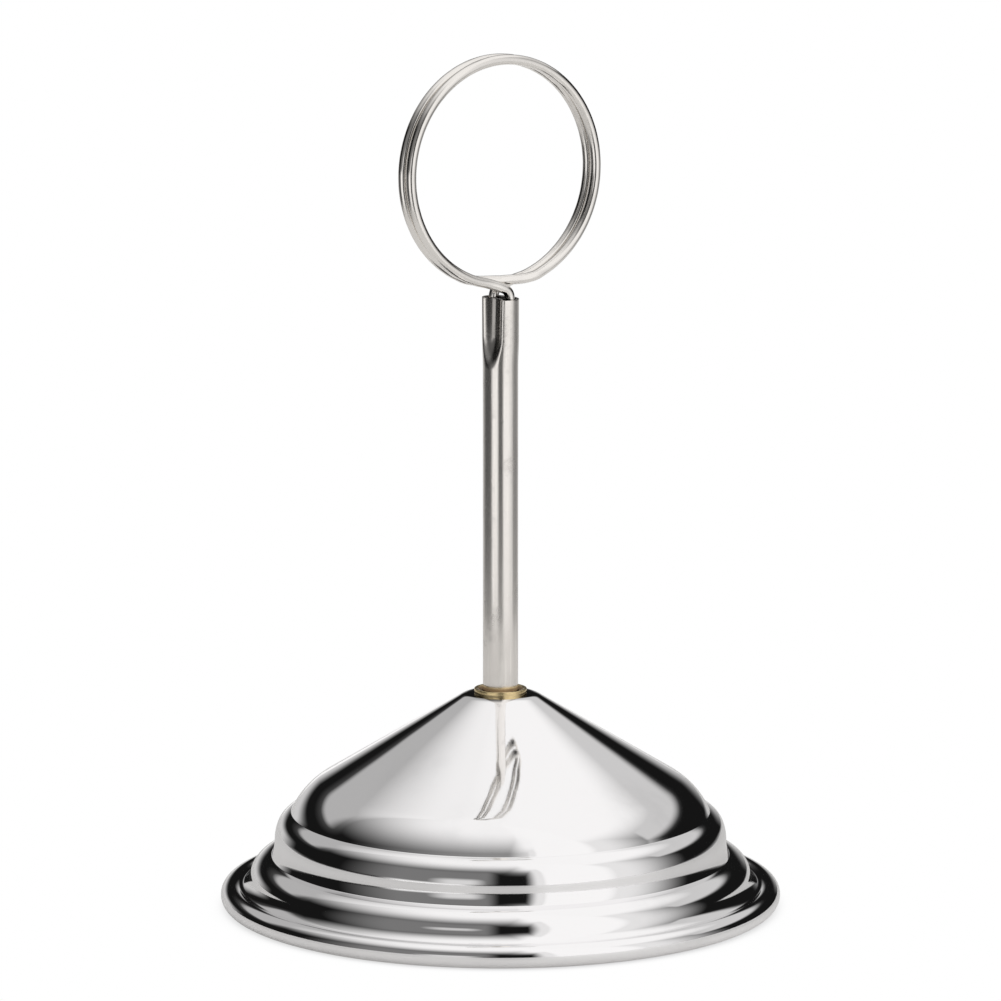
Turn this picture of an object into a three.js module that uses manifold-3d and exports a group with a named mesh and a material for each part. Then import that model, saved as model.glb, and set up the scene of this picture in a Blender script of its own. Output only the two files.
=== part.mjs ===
// Table number holder: a spun bell-shaped base with a rolled rim, a brass bush, a tubular stem
// with a crimped mouth, and a two-turn wire ring that clips a card between its turns.
// Millimetres, +Z up, origin on the table under the stem's axis. The ring's turns lie along X.

import * as THREE from "three";
import { mergeVertices } from "three/addons/utils/BufferGeometryUtils.js";
import Module from "manifold-3d";

const wasm = await Module();
wasm.setup();

// ---- driving dimensions ------------------------------------------------------------------

const BASE_DIAMETER = 101.6;
const SHEET = 0.8; // thickness of the spun sheet

const RIM_ROLL_R = 2.1; // outside radius of the rolled rim
const RIM_ROLL_START = -165; // facing of the roll's free edge, degrees
const RIM_LAND_HALF_ANGLE = 12; // the roll is flat over this much each side of its lowest line
const RIM_ROLL_END = 123; // facing where the roll meets the valley behind it
const VALLEY_R = 0.8;
const FLARE_R = 3.4; // hollow curve that rises from the valley
const LOWER_BEAD_FOOT_R = 3.5;
const LOWER_BEAD_R = 4.1;
const NECK_R = 7.4; // hollow neck between the two beads
const UPPER_BEAD_FOOT_R = 7.5;
const UPPER_BEAD_R = 3.9;
const SHOULDER_R = 13.5;

// Facings: the elevation of the outline's outward normal where one curve meets the next, degrees.
const FLARE_FACING = 50;
const LOWER_BEAD_FACING = 10;
const BEAD_TURN_FACING = 22;
const LOWER_BEAD_TOP_FACING = 89;
const UPPER_BEAD_TOP_FACING = 72;
const SHOULDER_FACING = 25;
const CONE_FACING = 58.7;

const APEX_ROUND_R = 3;
const APEX_MARGIN = 1.05; // flat ground round the bush's flange

const BUSH_FLANGE_W = 1.575; // how far the flange stands out round the stem
const BUSH_FLANGE_H = 1.0;
const BUSH_SPIGOT_D = 7.0;
const BUSH_DISH_DEPTH = 0.35; // the flange's top dips towards the stem
const BUSH_LIP_W = 0.45;

const STEM_DIAMETER = 6.35;
const STEM_WALL = 0.5;
const STEM_LENGTH = 71.6;
const STEM_SEAT_DEPTH = 0.7; // how far the stem sits down in the bush

const DENT_LENGTH = 12.6;
const DENT_RAMP = 5.6; // length of the dent's tapering lower end
const DENT_MAX_DEPTH = 2.0; // less where the wire needs the room
const DENT_HALF_WIDTH = 48; // degrees around the stem, each side of the dent's middle
const DENT_TIP_SHARE = 0.6; // of that width, left at the dent's lower tip
const DENT_AZIMUTH = -72; // the dent faces this way, degrees from -Y towards +X
const MOUTH_BULGE = 0.072; // the mouth widens across the dent by this share
const MOUTH_SLOPE = 0.055; // the mouth's edge drops towards the front leg

const WIRE_DIAMETER = 1.8;
const RING_RADIUS = 20.1; // to the wire's centre
const TURN_GAP = 0.7; // between the two turns, where the card goes
const RING_RISE = 2.6; // from the stem's mouth up to the ring's lowest wire centre
const RING_SPLIT_ANGLE = 40; // each turn flexes above this angle from the ring's bottom
const SPLIT_GAP = 0.3;
const LEG_SETBACK = 0.35; // the legs stand behind the stem's axis, away from the dent
const LEG_CLEARANCE = 0.12; // between a leg and the mouth's wall
const LEG_DEPTH = 9;
const LEG_BEND_R = 1.9;
const LEG_BEND_ANGLE = 72;
const LEG_BEND_DROP = 0.75; // the bend ends this far below the ring's lowest wire centre
const CROSSOVER_SHIFT = 0.15; // the crossing wire's lowest point lies behind the stem's axis
const CROSSING_CLEARANCE = 0.08; // between the crossing wire and the front leg's bend

const SCREW_DIAMETER = 3;
const SCREW_HEAD_W = 1.5; // how far the head stands out round the shank
const SCREW_HEAD_H = 2.3;
const SCREW_HEAD_ROUND = 0.7;
const SCREW_REACH = 10; // length of thread inside the plug
const SLOT_WIDTH = 0.9;
const SLOT_DEPTH = 1.0;
const FLAT_WASHER_BEARING = 1.9; // width of washer that bears on the sheet round its hole
const FLAT_WASHER_H = 0.9;
const LOCK_WASHER_W = 1.5;
const LOCK_WASHER_H = 0.8;
const LOCK_WASHER_SPLIT = 14; // degrees left open
const PLUG_LENGTH = 14;

const FIT_CLEARANCE = 0.1; // radial, between pieces that slide together
const SEAT_GAP = 0.05; // between faces that rest on each other

const BASE_SEGMENTS = 48;
const STEM_SEGMENTS = 32;
const FITTING_SEGMENTS = 24;
const WIRE_SIDES = 10;
const LEG_STEPS = 26;
const CROSSOVER_STEPS = 24;
const TURN_STEPS = 54;
const DENT_ROWS = 10;

// ---- sizes that follow from them ---------------------------------------------------------

const STEM_R = STEM_DIAMETER / 2;
const STEM_BORE_R = STEM_R - STEM_WALL;
const SPIGOT_R = BUSH_SPIGOT_D / 2;
const SCREW_R = SCREW_DIAMETER / 2;
const SCREW_HOLE_R = SCREW_R + FIT_CLEARANCE;
const PLUG_R = STEM_BORE_R - FIT_CLEARANCE;
const BUSH_FLANGE_R = STEM_R + BUSH_FLANGE_W;
const BASE_HOLE_R = SPIGOT_R + FIT_CLEARANCE;
const APEX_FLAT_R = BUSH_FLANGE_R + APEX_MARGIN;

const outline = baseOutline();
const APEX_Z = outline.at(-1).z;
const BUSH_TOP_Z = APEX_Z + SEAT_GAP + BUSH_FLANGE_H;
const STEM_SEAT_Z = BUSH_TOP_Z - STEM_SEAT_DEPTH;
const STEM_FOOT_Z = STEM_SEAT_Z + SEAT_GAP;
const STEM_MOUTH_Z = STEM_FOOT_Z + STEM_LENGTH;
const SHEET_UNDERSIDE_Z = APEX_Z - SHEET;
const FLAT_WASHER_TOP_Z = SHEET_UNDERSIDE_Z - SEAT_GAP;
const LOCK_WASHER_TOP_Z = FLAT_WASHER_TOP_Z - FLAT_WASHER_H - SEAT_GAP;
const SCREW_SEAT_Z = LOCK_WASHER_TOP_Z - LOCK_WASHER_H - SEAT_GAP;

const WIRE_R = WIRE_DIAMETER / 2;
const TURN_Y = (WIRE_DIAMETER + TURN_GAP) / 2;
const RING_CENTRE_Z = STEM_MOUTH_Z + RING_RISE + RING_RADIUS;
const MOUTH_HALF_WIDTH = STEM_BORE_R * (1 + MOUTH_BULGE);
const LEG_HALF_SPREAD = Math.sqrt((MOUTH_HALF_WIDTH - WIRE_R - LEG_CLEARANCE) ** 2 - LEG_SETBACK ** 2);
const CROSSING_Y = TURN_Y + CROSSOVER_SHIFT;
const CROSSING_RISE = Math.sqrt((WIRE_DIAMETER + CROSSING_CLEARANCE) ** 2 - CROSSING_Y ** 2);
const CROSSOVER_LIFT = CROSSING_RISE - LEG_BEND_DROP;

// ---- materials ---------------------------------------------------------------------------

const chrome = new THREE.MeshStandardMaterial({ color: 0xd8d8dc, roughness: 0.05, metalness: 1 });
const brass = new THREE.MeshStandardMaterial({ color: 0xb89a6a, roughness: 0.28, metalness: 1 });
const satinSteel = new THREE.MeshStandardMaterial({ color: 0xb9b2ac, roughness: 0.32, metalness: 1 });
const brightWire = new THREE.MeshStandardMaterial({ color: 0xcfc8c0, roughness: 0.16, metalness: 1 });
const zincPlate = new THREE.MeshStandardMaterial({ color: 0xa7abb0, roughness: 0.4, metalness: 1 });

// ---- geometry helpers --------------------------------------------------------------------

function radians(degrees) {
  return THREE.MathUtils.degToRad(degrees);
}

/** A point of an outline: radius, height and the elevation of the surface's outward normal. */
function outlinePoint(r, z, facing) {
  return { r, z, facing };
}

/** Continues an outline by a tangent arc; a negative radius makes the surface hollow. */
function arcTo(points, radius, facing, steps) {
  const start = points.at(-1);
  const centreR = start.r - radius * Math.cos(radians(start.facing));
  const centreZ = start.z - radius * Math.sin(radians(start.facing));
  for (let step = 1; step <= steps; step += 1) {
    const angle = THREE.MathUtils.lerp(start.facing, facing, step / steps);
    const r = centreR + radius * Math.cos(radians(angle));
    const z = centreZ + radius * Math.sin(radians(angle));
    points.push(outlinePoint(r, z, angle));
  }
}

/** Continues an outline straight on, up and towards the axis, until it reaches a radius. */
function lineToRadius(points, r) {
  const start = points.at(-1);
  const length = (start.r - r) / Math.sin(radians(start.facing));
  points.push(outlinePoint(r, start.z + length * Math.cos(radians(start.facing)), start.facing));
}

/** Folds the surface: the outline goes on from the same place, facing another way. */
function crease(points, facing) {
  const start = points.at(-1);
  points.push(outlinePoint(start.r, start.z, facing));
}

/** Turns a closed profile of [radius, height] pairs about the Z axis. */
function turned(pairs, segments) {
  const points = [...pairs, pairs[0]].map(([r, z]) => new THREE.Vector2(r, z));
  return new THREE.LatheGeometry(points, segments).rotateX(Math.PI / 2);
}

/** A ring of rectangular section, from one height to another. */
function turnedRing(innerR, outerR, lowZ, highZ, segments) {
  return turned([[innerR, lowZ], [outerR, lowZ], [outerR, highZ], [innerR, highZ]], segments);
}

function circleShape(radius, sides) {
  const corners = [];
  for (let corner = 0; corner < sides; corner += 1) {
    const angle = (2 * Math.PI * corner) / sides;
    corners.push(new THREE.Vector2(radius * Math.cos(angle), radius * Math.sin(angle)));
  }
  return new THREE.Shape(corners);
}

function wireAlong(path, steps) {
  const section = circleShape(WIRE_R, WIRE_SIDES);
  return new THREE.ExtrudeGeometry(section, { steps, extrudePath: path, bevelEnabled: false });
}

/** A closed mesh as a solid that can be cut. */
function solid(geometry) {
  const bare = geometry.clone();
  bare.deleteAttribute("normal");
  bare.deleteAttribute("uv");
  const merged = mergeVertices(bare);
  const vertProperties = new Float32Array(merged.attributes.position.array);
  const triVerts = new Uint32Array(merged.index.array);
  return new wasm.Manifold(new wasm.Mesh({ numProp: 3, vertProperties, triVerts }));
}

function cut(body, tool) {
  const mesh = solid(body).subtract(solid(tool)).getMesh();
  const geometry = new THREE.BufferGeometry();
  geometry.setAttribute("position", new THREE.BufferAttribute(mesh.vertProperties, 3));
  geometry.setIndex(new THREE.BufferAttribute(mesh.triVerts, 1));
  return geometry;
}

function piece(name, geometry, material) {
  const mesh = new THREE.Mesh(geometry, material);
  mesh.name = name;
  return mesh;
}

// ---- spun base ---------------------------------------------------------------------------

/** The base's outer surface, from the rolled rim's free edge up to the flat apex. */
function baseOutline() {
  const rollCentreR = BASE_DIAMETER / 2 - RIM_ROLL_R;
  const rollCentreZ = RIM_ROLL_R * Math.cos(radians(RIM_LAND_HALF_ANGLE));
  const startR = rollCentreR + RIM_ROLL_R * Math.cos(radians(RIM_ROLL_START));
  const startZ = rollCentreZ + RIM_ROLL_R * Math.sin(radians(RIM_ROLL_START));
  const points = [outlinePoint(startR, startZ, RIM_ROLL_START)];
  arcTo(points, RIM_ROLL_R, -90 - RIM_LAND_HALF_ANGLE, 2);
  arcTo(points, RIM_ROLL_R, -90 + RIM_LAND_HALF_ANGLE, 1);
  arcTo(points, RIM_ROLL_R, 0, 3);
  arcTo(points, RIM_ROLL_R, RIM_ROLL_END, 5);
  arcTo(points, -VALLEY_R, FLARE_FACING, 2);
  arcTo(points, -FLARE_R, LOWER_BEAD_FACING, 2);
  arcTo(points, LOWER_BEAD_FOOT_R, BEAD_TURN_FACING, 1);
  arcTo(points, LOWER_BEAD_R, LOWER_BEAD_TOP_FACING, 4);
  crease(points, BEAD_TURN_FACING);
  arcTo(points, -NECK_R, 0, 2);
  arcTo(points, UPPER_BEAD_FOOT_R, BEAD_TURN_FACING, 2);
  arcTo(points, UPPER_BEAD_R, UPPER_BEAD_TOP_FACING, 3);
  crease(points, SHOULDER_FACING);
  arcTo(points, SHOULDER_R, CONE_FACING, 4);
  lineToRadius(points, APEX_FLAT_R + APEX_ROUND_R * Math.cos(radians(CONE_FACING)));
  arcTo(points, APEX_ROUND_R, 90, 3);
  return points;
}

function baseShell() {
  const outside = outline.map(({ r, z }) => [r, z]);
  const inside = outline.map(({ r, z, facing }) => [
    r - SHEET * Math.cos(radians(facing)),
    z - SHEET * Math.sin(radians(facing)),
  ]);
  const hole = [[BASE_HOLE_R, APEX_Z], [BASE_HOLE_R, SHEET_UNDERSIDE_Z]];
  const profile = [...outside, ...hole, ...inside.reverse()];
  return piece("base_shell", turned(profile, BASE_SEGMENTS), chrome);
}

// ---- fittings between base and stem ------------------------------------------------------

function stemBush() {
  const socketR = STEM_R + FIT_CLEARANCE;
  const flangeZ = APEX_Z + SEAT_GAP;
  const spigotZ = APEX_Z - SHEET / 2;
  const profile = [
    [SCREW_HOLE_R, spigotZ],
    [SPIGOT_R, spigotZ],
    [SPIGOT_R, flangeZ],
    [BUSH_FLANGE_R, flangeZ],
    [BUSH_FLANGE_R, BUSH_TOP_Z],
    [BUSH_FLANGE_R - BUSH_LIP_W, BUSH_TOP_Z],
    [socketR, BUSH_TOP_Z - BUSH_DISH_DEPTH],
    [socketR, STEM_SEAT_Z],
    [SCREW_HOLE_R, STEM_SEAT_Z],
  ];
  return piece("stem_bush", turned(profile, FITTING_SEGMENTS), brass);
}

function stemPlug() {
  const geometry = turnedRing(
    SCREW_HOLE_R,
    PLUG_R,
    STEM_FOOT_Z,
    STEM_FOOT_Z + PLUG_LENGTH,
    FITTING_SEGMENTS
  );
  return piece("stem_plug", geometry, zincPlate);
}

function flatWasher() {
  const lowZ = FLAT_WASHER_TOP_Z - FLAT_WASHER_H;
  const geometry = turnedRing(
    SCREW_HOLE_R,
    BASE_HOLE_R + FLAT_WASHER_BEARING,
    lowZ,
    FLAT_WASHER_TOP_Z,
    FITTING_SEGMENTS
  );
  return piece("flat_washer", geometry, zincPlate);
}

/** A spring washer: one coil cut through, drawn flat as it is when the screw is tight. */
function lockWasher() {
  const shape = new THREE.Shape();
  const start = radians(LOCK_WASHER_SPLIT / 2);
  const end = 2 * Math.PI - start;
  shape.absarc(0, 0, SCREW_HOLE_R + LOCK_WASHER_W, start, end, false);
  shape.absarc(0, 0, SCREW_HOLE_R, end, start, true);
  const options = { depth: LOCK_WASHER_H, bevelEnabled: false, curveSegments: FITTING_SEGMENTS };
  const geometry = new THREE.ExtrudeGeometry(shape, options);
  geometry.translate(0, 0, LOCK_WASHER_TOP_Z - LOCK_WASHER_H);
  return piece("lock_washer", geometry, zincPlate);
}

/** A slotted pan-head screw, put in from below and threaded into the stem's plug. */
function stemScrew() {
  const headR = SCREW_R + SCREW_HEAD_W;
  const headLowZ = SCREW_SEAT_Z - SCREW_HEAD_H;
  const tipZ = STEM_FOOT_Z + SCREW_REACH;
  const profile = [
    [0, headLowZ],
    [headR - SCREW_HEAD_ROUND, headLowZ],
    [headR, headLowZ + SCREW_HEAD_ROUND],
    [headR, SCREW_SEAT_Z],
    [SCREW_R, SCREW_SEAT_Z],
    [SCREW_R, tipZ],
    [0, tipZ],
  ];
  const slot = new THREE.BoxGeometry(4 * headR, SLOT_WIDTH, 2 * SLOT_DEPTH);
  slot.translate(0, 0, headLowZ);
  return piece("stem_screw", cut(turned(profile, FITTING_SEGMENTS), slot), zincPlate);
}

// ---- stem --------------------------------------------------------------------------------

/** Unit vectors in plan: out through the dent, and across it towards the front leg. */
const dentOut = new THREE.Vector2(
  Math.sin(radians(DENT_AZIMUTH)),
  -Math.cos(radians(DENT_AZIMUTH))
);
const dentAcross = new THREE.Vector2(-dentOut.y, dentOut.x);

/** How far the crimp has formed at a height, from 0 below the dent to 1 at the mouth. */
function crimpAt(z) {
  const above = z - (STEM_MOUTH_Z - DENT_LENGTH);
  const ramp = THREE.MathUtils.smoothstep(above, 0, DENT_RAMP);
  const rest = THREE.MathUtils.clamp(above / DENT_LENGTH, 0, 1);
  return 0.75 * ramp + 0.25 * rest;
}

/** The dent's shape around the stem: 1 at its middle, 0 from its edges on. */
function dentShare(degrees, formed) {
  const halfWidth = DENT_HALF_WIDTH * THREE.MathUtils.lerp(DENT_TIP_SHARE, 1, formed);
  const share = Math.min(degrees / halfWidth, 1);
  return Math.cos((share * Math.PI) / 2) ** 2;
}

/** The deepest dent that leaves the legs their clearance. */
function dentDepth() {
  const reach = WIRE_R + LEG_CLEARANCE;
  let depth = DENT_MAX_DEPTH;
  for (let degrees = 0; degrees < DENT_HALF_WIDTH; degrees += 1) {
    const aside = Math.abs(MOUTH_HALF_WIDTH * Math.sin(radians(degrees)) - LEG_HALF_SPREAD);
    if (aside < reach) {
      const legFront = Math.sqrt(reach ** 2 - aside ** 2) - LEG_SETBACK;
      const room = STEM_BORE_R * Math.cos(radians(degrees)) - legFront;
      depth = Math.min(depth, room / dentShare(degrees, 1));
    }
  }
  return depth;
}

/** Presses the round tube in at its mouth, moving each vertex of its wall in plan. */
function crimp(geometry) {
  const position = geometry.attributes.position;
  const depth = dentDepth();
  const point = new THREE.Vector3();
  for (let index = 0; index < position.count; index += 1) {
    point.fromBufferAttribute(position, index);
    const formed = crimpAt(point.z);
    const plan = new THREE.Vector2(point.x, point.y);
    const across = plan.dot(dentAcross);
    const out = plan.dot(dentOut);
    const angle = THREE.MathUtils.radToDeg(Math.abs(Math.atan2(across, out)));
    const press = depth * formed * dentShare(angle, formed);
    const wide = across * (1 + MOUTH_BULGE * formed);
    point.x = wide * dentAcross.x + (out - press) * dentOut.x;
    point.y = wide * dentAcross.y + (out - press) * dentOut.y;
    point.z -= MOUTH_SLOPE * across * formed;
    position.setXYZ(index, point.x, point.y, point.z);
  }
}

function stemTube() {
  const heights = [STEM_FOOT_Z];
  for (let row = 0; row <= DENT_ROWS; row += 1) {
    heights.push(STEM_MOUTH_Z - DENT_LENGTH * (1 - row / DENT_ROWS));
  }
  const outside = heights.map((z) => [STEM_R, z]);
  const inside = heights.map((z) => [STEM_BORE_R, z]).reverse();
  const geometry = turned([...outside, ...inside], STEM_SEGMENTS);
  crimp(geometry);
  return piece("stem_tube", geometry, satinSteel);
}

// ---- card clip ---------------------------------------------------------------------------

/** A point of the ring, at an angle from its bottom towards +X, in the plane of one turn. */
function ringPoint(degrees, y) {
  const x = RING_RADIUS * Math.sin(radians(degrees));
  const z = RING_CENTRE_Z - RING_RADIUS * Math.cos(radians(degrees));
  return new THREE.Vector3(x, y, z);
}

/** The angles where the wire's fixed ends stop and its flexing turns start, either side of a gap. */
const halfGapAngle = THREE.MathUtils.radToDeg(SPLIT_GAP / 2 / RING_RADIUS);
const fixedEnd = RING_SPLIT_ANGLE - halfGapAngle;
const turnEnd = RING_SPLIT_ANGLE + halfGapAngle;

/**
 * One leg, from its end down in the stem, up through its bend and on along the ring.
 * The front leg (side 1) bends towards -X, the rear leg (side -1) towards +X.
 */
function clipLeg(name, side) {
  const foot = dentAcross.clone().multiplyScalar(side * LEG_HALF_SPREAD);
  foot.addScaledVector(dentOut, -LEG_SETBACK);
  const turnY = -side * TURN_Y;
  const bendTopZ = STEM_MOUTH_Z + RING_RISE - LEG_BEND_DROP;
  const bendZ = bendTopZ - LEG_BEND_R * Math.sin(radians(LEG_BEND_ANGLE));
  const points = [
    new THREE.Vector3(foot.x, foot.y, STEM_MOUTH_Z - LEG_DEPTH),
    new THREE.Vector3(foot.x, foot.y, STEM_MOUTH_Z - LEG_DEPTH / 2),
    new THREE.Vector3(foot.x, foot.y, bendZ),
  ];
  for (const share of [1 / 3, 2 / 3, 1]) {
    const angle = radians(LEG_BEND_ANGLE * share);
    const x = foot.x - side * LEG_BEND_R * (1 - Math.cos(angle));
    points.push(new THREE.Vector3(x, foot.y, bendZ + LEG_BEND_R * Math.sin(angle)));
  }
  for (const share of [0.25, 0.45, 0.65, 0.85, 1]) {
    points.push(ringPoint(-side * share * fixedEnd, turnY));
  }
  const path = new THREE.CatmullRomCurve3(points, false, "centripetal");
  return piece(name, wireAlong(path, LEG_STEPS), brightWire);
}

/** The wire that crosses under the ring, from the end of the front turn to the rear turn. */
function clipCrossover() {
  const points = [];
  for (const share of [1, 0.85, 0.65, 0.45]) {
    points.push(ringPoint(share * fixedEnd, -TURN_Y));
  }
  const lowest = ringPoint(0, CROSSOVER_SHIFT);
  lowest.z += CROSSOVER_LIFT;
  points.push(lowest);
  for (const share of [0.45, 0.65, 0.85, 1]) {
    points.push(ringPoint(-share * fixedEnd, TURN_Y));
  }
  const path = new THREE.CatmullRomCurve3(points, false, "centripetal");
  return piece("clip_crossover", wireAlong(path, CROSSOVER_STEPS), brightWire);
}

class RingArc extends THREE.Curve {
  constructor(y) {
    super();
    this.y = y;
  }

  getPoint(share, target = new THREE.Vector3()) {
    const degrees = THREE.MathUtils.lerp(-turnEnd, turnEnd - 360, share);
    return target.copy(ringPoint(degrees, this.y));
  }
}

function clipTurn(name, y) {
  return piece(name, wireAlong(new RingArc(y), TURN_STEPS), brightWire);
}

// ---- assembly ----------------------------------------------------------------------------

const holder = new THREE.Group();
holder.add(
  baseShell(),
  stemBush(),
  flatWasher(),
  lockWasher(),
  stemScrew(),
  stemPlug(),
  stemTube(),
  clipLeg("clip_front_leg", 1),
  clipCrossover(),
  clipLeg("clip_rear_leg", -1),
  clipTurn("clip_front_turn", -TURN_Y),
  clipTurn("clip_rear_turn", TURN_Y)
);

export default holder;
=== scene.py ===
"""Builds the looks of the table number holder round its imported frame, in metres."""

import math

import bmesh
import bpy
from mathutils import Matrix, Vector


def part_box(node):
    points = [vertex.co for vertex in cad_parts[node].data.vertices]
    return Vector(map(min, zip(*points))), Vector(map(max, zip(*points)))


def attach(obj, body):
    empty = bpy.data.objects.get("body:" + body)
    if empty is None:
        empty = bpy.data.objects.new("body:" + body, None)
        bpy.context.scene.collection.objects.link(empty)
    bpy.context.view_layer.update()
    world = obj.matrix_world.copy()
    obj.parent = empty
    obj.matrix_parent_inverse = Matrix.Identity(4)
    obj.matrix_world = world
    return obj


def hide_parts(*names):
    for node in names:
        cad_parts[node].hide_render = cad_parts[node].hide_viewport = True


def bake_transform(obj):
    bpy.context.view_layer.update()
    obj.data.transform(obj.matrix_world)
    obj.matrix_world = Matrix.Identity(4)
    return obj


bl_info = {
    "name": "Table number holder",
    "version": (1, 0, 0),
    "blender": (4, 5, 0),
    "location": "3D View > Sidebar > Card holder",
    "description": "A spun chrome base, a crimped stem and a two-turn wire card clip",
    "category": "Add Mesh",
}

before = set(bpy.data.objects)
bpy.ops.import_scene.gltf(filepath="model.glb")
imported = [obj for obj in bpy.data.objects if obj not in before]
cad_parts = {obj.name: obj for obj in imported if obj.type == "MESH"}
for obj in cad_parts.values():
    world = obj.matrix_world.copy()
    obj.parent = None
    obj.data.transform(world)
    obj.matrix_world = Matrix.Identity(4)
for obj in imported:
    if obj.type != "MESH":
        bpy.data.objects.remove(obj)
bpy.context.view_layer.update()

MM = 0.001
UP = Vector((0, 0, 1))
FIT_CLEARANCE = 0.1 * MM
SEAT_GAP = 0.05 * MM
SCREW_HOLE = 1.6 * MM
STAND = "stand"

base_low, base_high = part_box("base_shell")
bush_low, bush_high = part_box("stem_bush")
tube_low, tube_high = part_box("stem_tube")
turn_low, turn_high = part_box("clip_front_turn")
leg_low, leg_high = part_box("clip_front_leg")
flat_low, flat_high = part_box("flat_washer")
lock_low, lock_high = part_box("lock_washer")
screw_low, screw_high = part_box("stem_screw")


# Facings on which the curves of the base's outline end, in degrees above level.
FREE_EDGE_FACING = -165
LAND_START_FACING = -102
LAND_END_FACING = -78
ROLL_END_FACING = 123
FLARE_FACING = 50
LOWER_BEAD_FACING = 10
BEAD_TURN_FACING = 22
LOWER_BEAD_TOP_FACING = 87
UPPER_BEAD_TOP_FACING = 72
SHOULDER_FACING = 25
FLAT_FACING = 90

# Places on the ring, in degrees from its bottom: the sprung part of a turn, from its start to
# its end, then the places that lead up to it from a leg's bend and from the crossing.
TURN_START, TURN_END, TURN_STEP = 40, 320, 8
BEND_EXIT_PLACES = (10, 18, 26, 33)
CROSSING_EXIT_PLACES = (18, 26, 33)

# Light panels of the studio, in degrees: azimuth from straight behind the object, positive to
# the right, then elevation. Each edge fades between two limits, and the last number is how
# bright the panel is.
NO_EDGE = (-1000, -900)
OPEN_EDGE = (900, 1000)
STUDIO_PANELS = [
    (NO_EDGE, OPEN_EDGE, (22, 78), OPEN_EDGE, 0.96),
    ((-70, -54), (-12, 4), (21, 26), OPEN_EDGE, 0.45),
    ((-80, -54), (-12, 4), (14, 70), OPEN_EDGE, 0.92),
    ((-12, 0), (84, 90), (21, 28), OPEN_EDGE, 0.62),
    ((-14, 10), (160, 185), (18, 54), OPEN_EDGE, 0.97),
    ((70, 114), (161, 168), NO_EDGE, OPEN_EDGE, 0.82),
    ((100, 126), (156, 166), NO_EDGE, OPEN_EDGE, 0.98),
    ((-181, -172), (-130, -86), (-4, 2), (26, 60), 0.19),
    ((-178, -164), (-156, -136), (-4, 1), (7, 20), 0.7),
    ((-54, -30), (2, 26), NO_EDGE, (1, 12), 0.6),
    ((-22, -8), (2, 16), NO_EDGE, (-2, 6), 1.0),
    ((-172, -158), (-130, -112), NO_EDGE, (-3, 4), 1.0),
    ((-85, -20), (20, 80), NO_EDGE, (-5, 1), 0.55),
    ((6, 22), (88, 100), NO_EDGE, (-6, 0), 0.24),
    (NO_EDGE, OPEN_EDGE, NO_EDGE, (-6, 0), 0.09),
]


# ---- sizes and colours a user would change -----------------------------------------------


def length(name, description, default):
    return bpy.props.FloatProperty(
        name=name, description=description, default=default, unit="LENGTH", precision=5
    )


def angle(name, description, degrees):
    return bpy.props.FloatProperty(
        name=name, description=description, default=math.radians(degrees), subtype="ANGLE"
    )


def count(name, description, default):
    return bpy.props.IntProperty(name=name, description=description, default=default, min=3)


def share(name, description, default):
    return bpy.props.FloatProperty(
        name=name, description=description, default=default, min=0, max=1, subtype="FACTOR"
    )


def colour(name, description, default):
    return bpy.props.FloatVectorProperty(
        name=name, description=description, default=default, size=3, min=0, max=1, subtype="COLOR"
    )


class HolderBaseSettings(bpy.types.PropertyGroup):
    sheet: length("Sheet", "Thickness of the spun sheet", 0.8 * MM)
    roll: length("Rim roll", "Outside radius of the rolled rim", 2.1 * MM)
    fold: length("Fold", "Radius of the sharp folds between the beads", 0.16 * MM)
    valley: length("Valley", "Radius of the hollow behind the rim", 0.8 * MM)
    flare: length("Flare", "Radius of the hollow that rises to the lower bead", 3.4 * MM)
    lower_foot: length("Lower foot", "Radius of the curve under the lower bead", 3.5 * MM)
    lower_bead: length("Lower bead", "Radius of the lower bead", 4.1 * MM)
    neck: length("Neck", "Radius of the hollow between the beads", 7.4 * MM)
    upper_foot: length("Upper foot", "Radius of the curve under the upper bead", 7.5 * MM)
    upper_bead: length("Upper bead", "Radius of the upper bead", 3.9 * MM)
    shoulder: length("Shoulder", "Radius of the shoulder under the cone", 13.5 * MM)
    cone: angle("Cone facing", "Elevation of the cone's outward normal", 58.7)
    apex: length("Apex round", "Radius between the cone and its flat top", 3.0 * MM)
    apex_margin: length("Apex margin", "Flat ground round the bush's flange", 1.05 * MM)
    hole_margin: length("Hole margin", "From the bush's rim in to the hole's edge", 1.15 * MM)
    around: count("Steps around", "Segments round the base", 192)
    metal: colour("Chrome", "Colour of the chrome plate", (0.945, 0.94, 0.945))
    inside: colour("Inside", "Colour of the dull plating under the base", (0.5, 0.5, 0.52))
    polish: share("Polish", "Roughness of clean chrome", 0.035)


class HolderBushSettings(bpy.types.PropertyGroup):
    lip: length("Lip", "Width of the flat lip round the dished top", 0.45 * MM)
    dish: length("Dish", "Depth of the dished top", 0.35 * MM)
    edge: length("Edge", "Radius of the turned edges", 0.12 * MM)
    spigot: length("Spigot", "Radius of the spigot through the base", 3.5 * MM)
    metal: colour("Brass", "Colour of clean brass", (0.83, 0.66, 0.36))
    tarnish: colour("Tarnish", "Colour of the tarnish in the dish", (0.3, 0.19, 0.1))


class HolderFittingSettings(bpy.types.PropertyGroup):
    edge: length("Washer edge", "Radius of the flat washer's edges", 0.12 * MM)
    lock_edge: length("Lock edge", "Radius of the lock washer's edges", 0.08 * MM)
    split: angle("Split", "How much of the lock washer is cut away", 14)
    shank: length("Shank", "Radius of the screw's shank", 1.5 * MM)
    dome: length("Dome", "Height and width of the screw head's sloping edge", 0.9 * MM)
    head_round: length("Head round", "Radius that softens the head's edges", 0.45 * MM)
    slot: length("Slot", "Width of the screw's slot", 0.9 * MM)
    slot_depth: length("Slot depth", "Depth of the screw's slot", 1.0 * MM)


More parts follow.
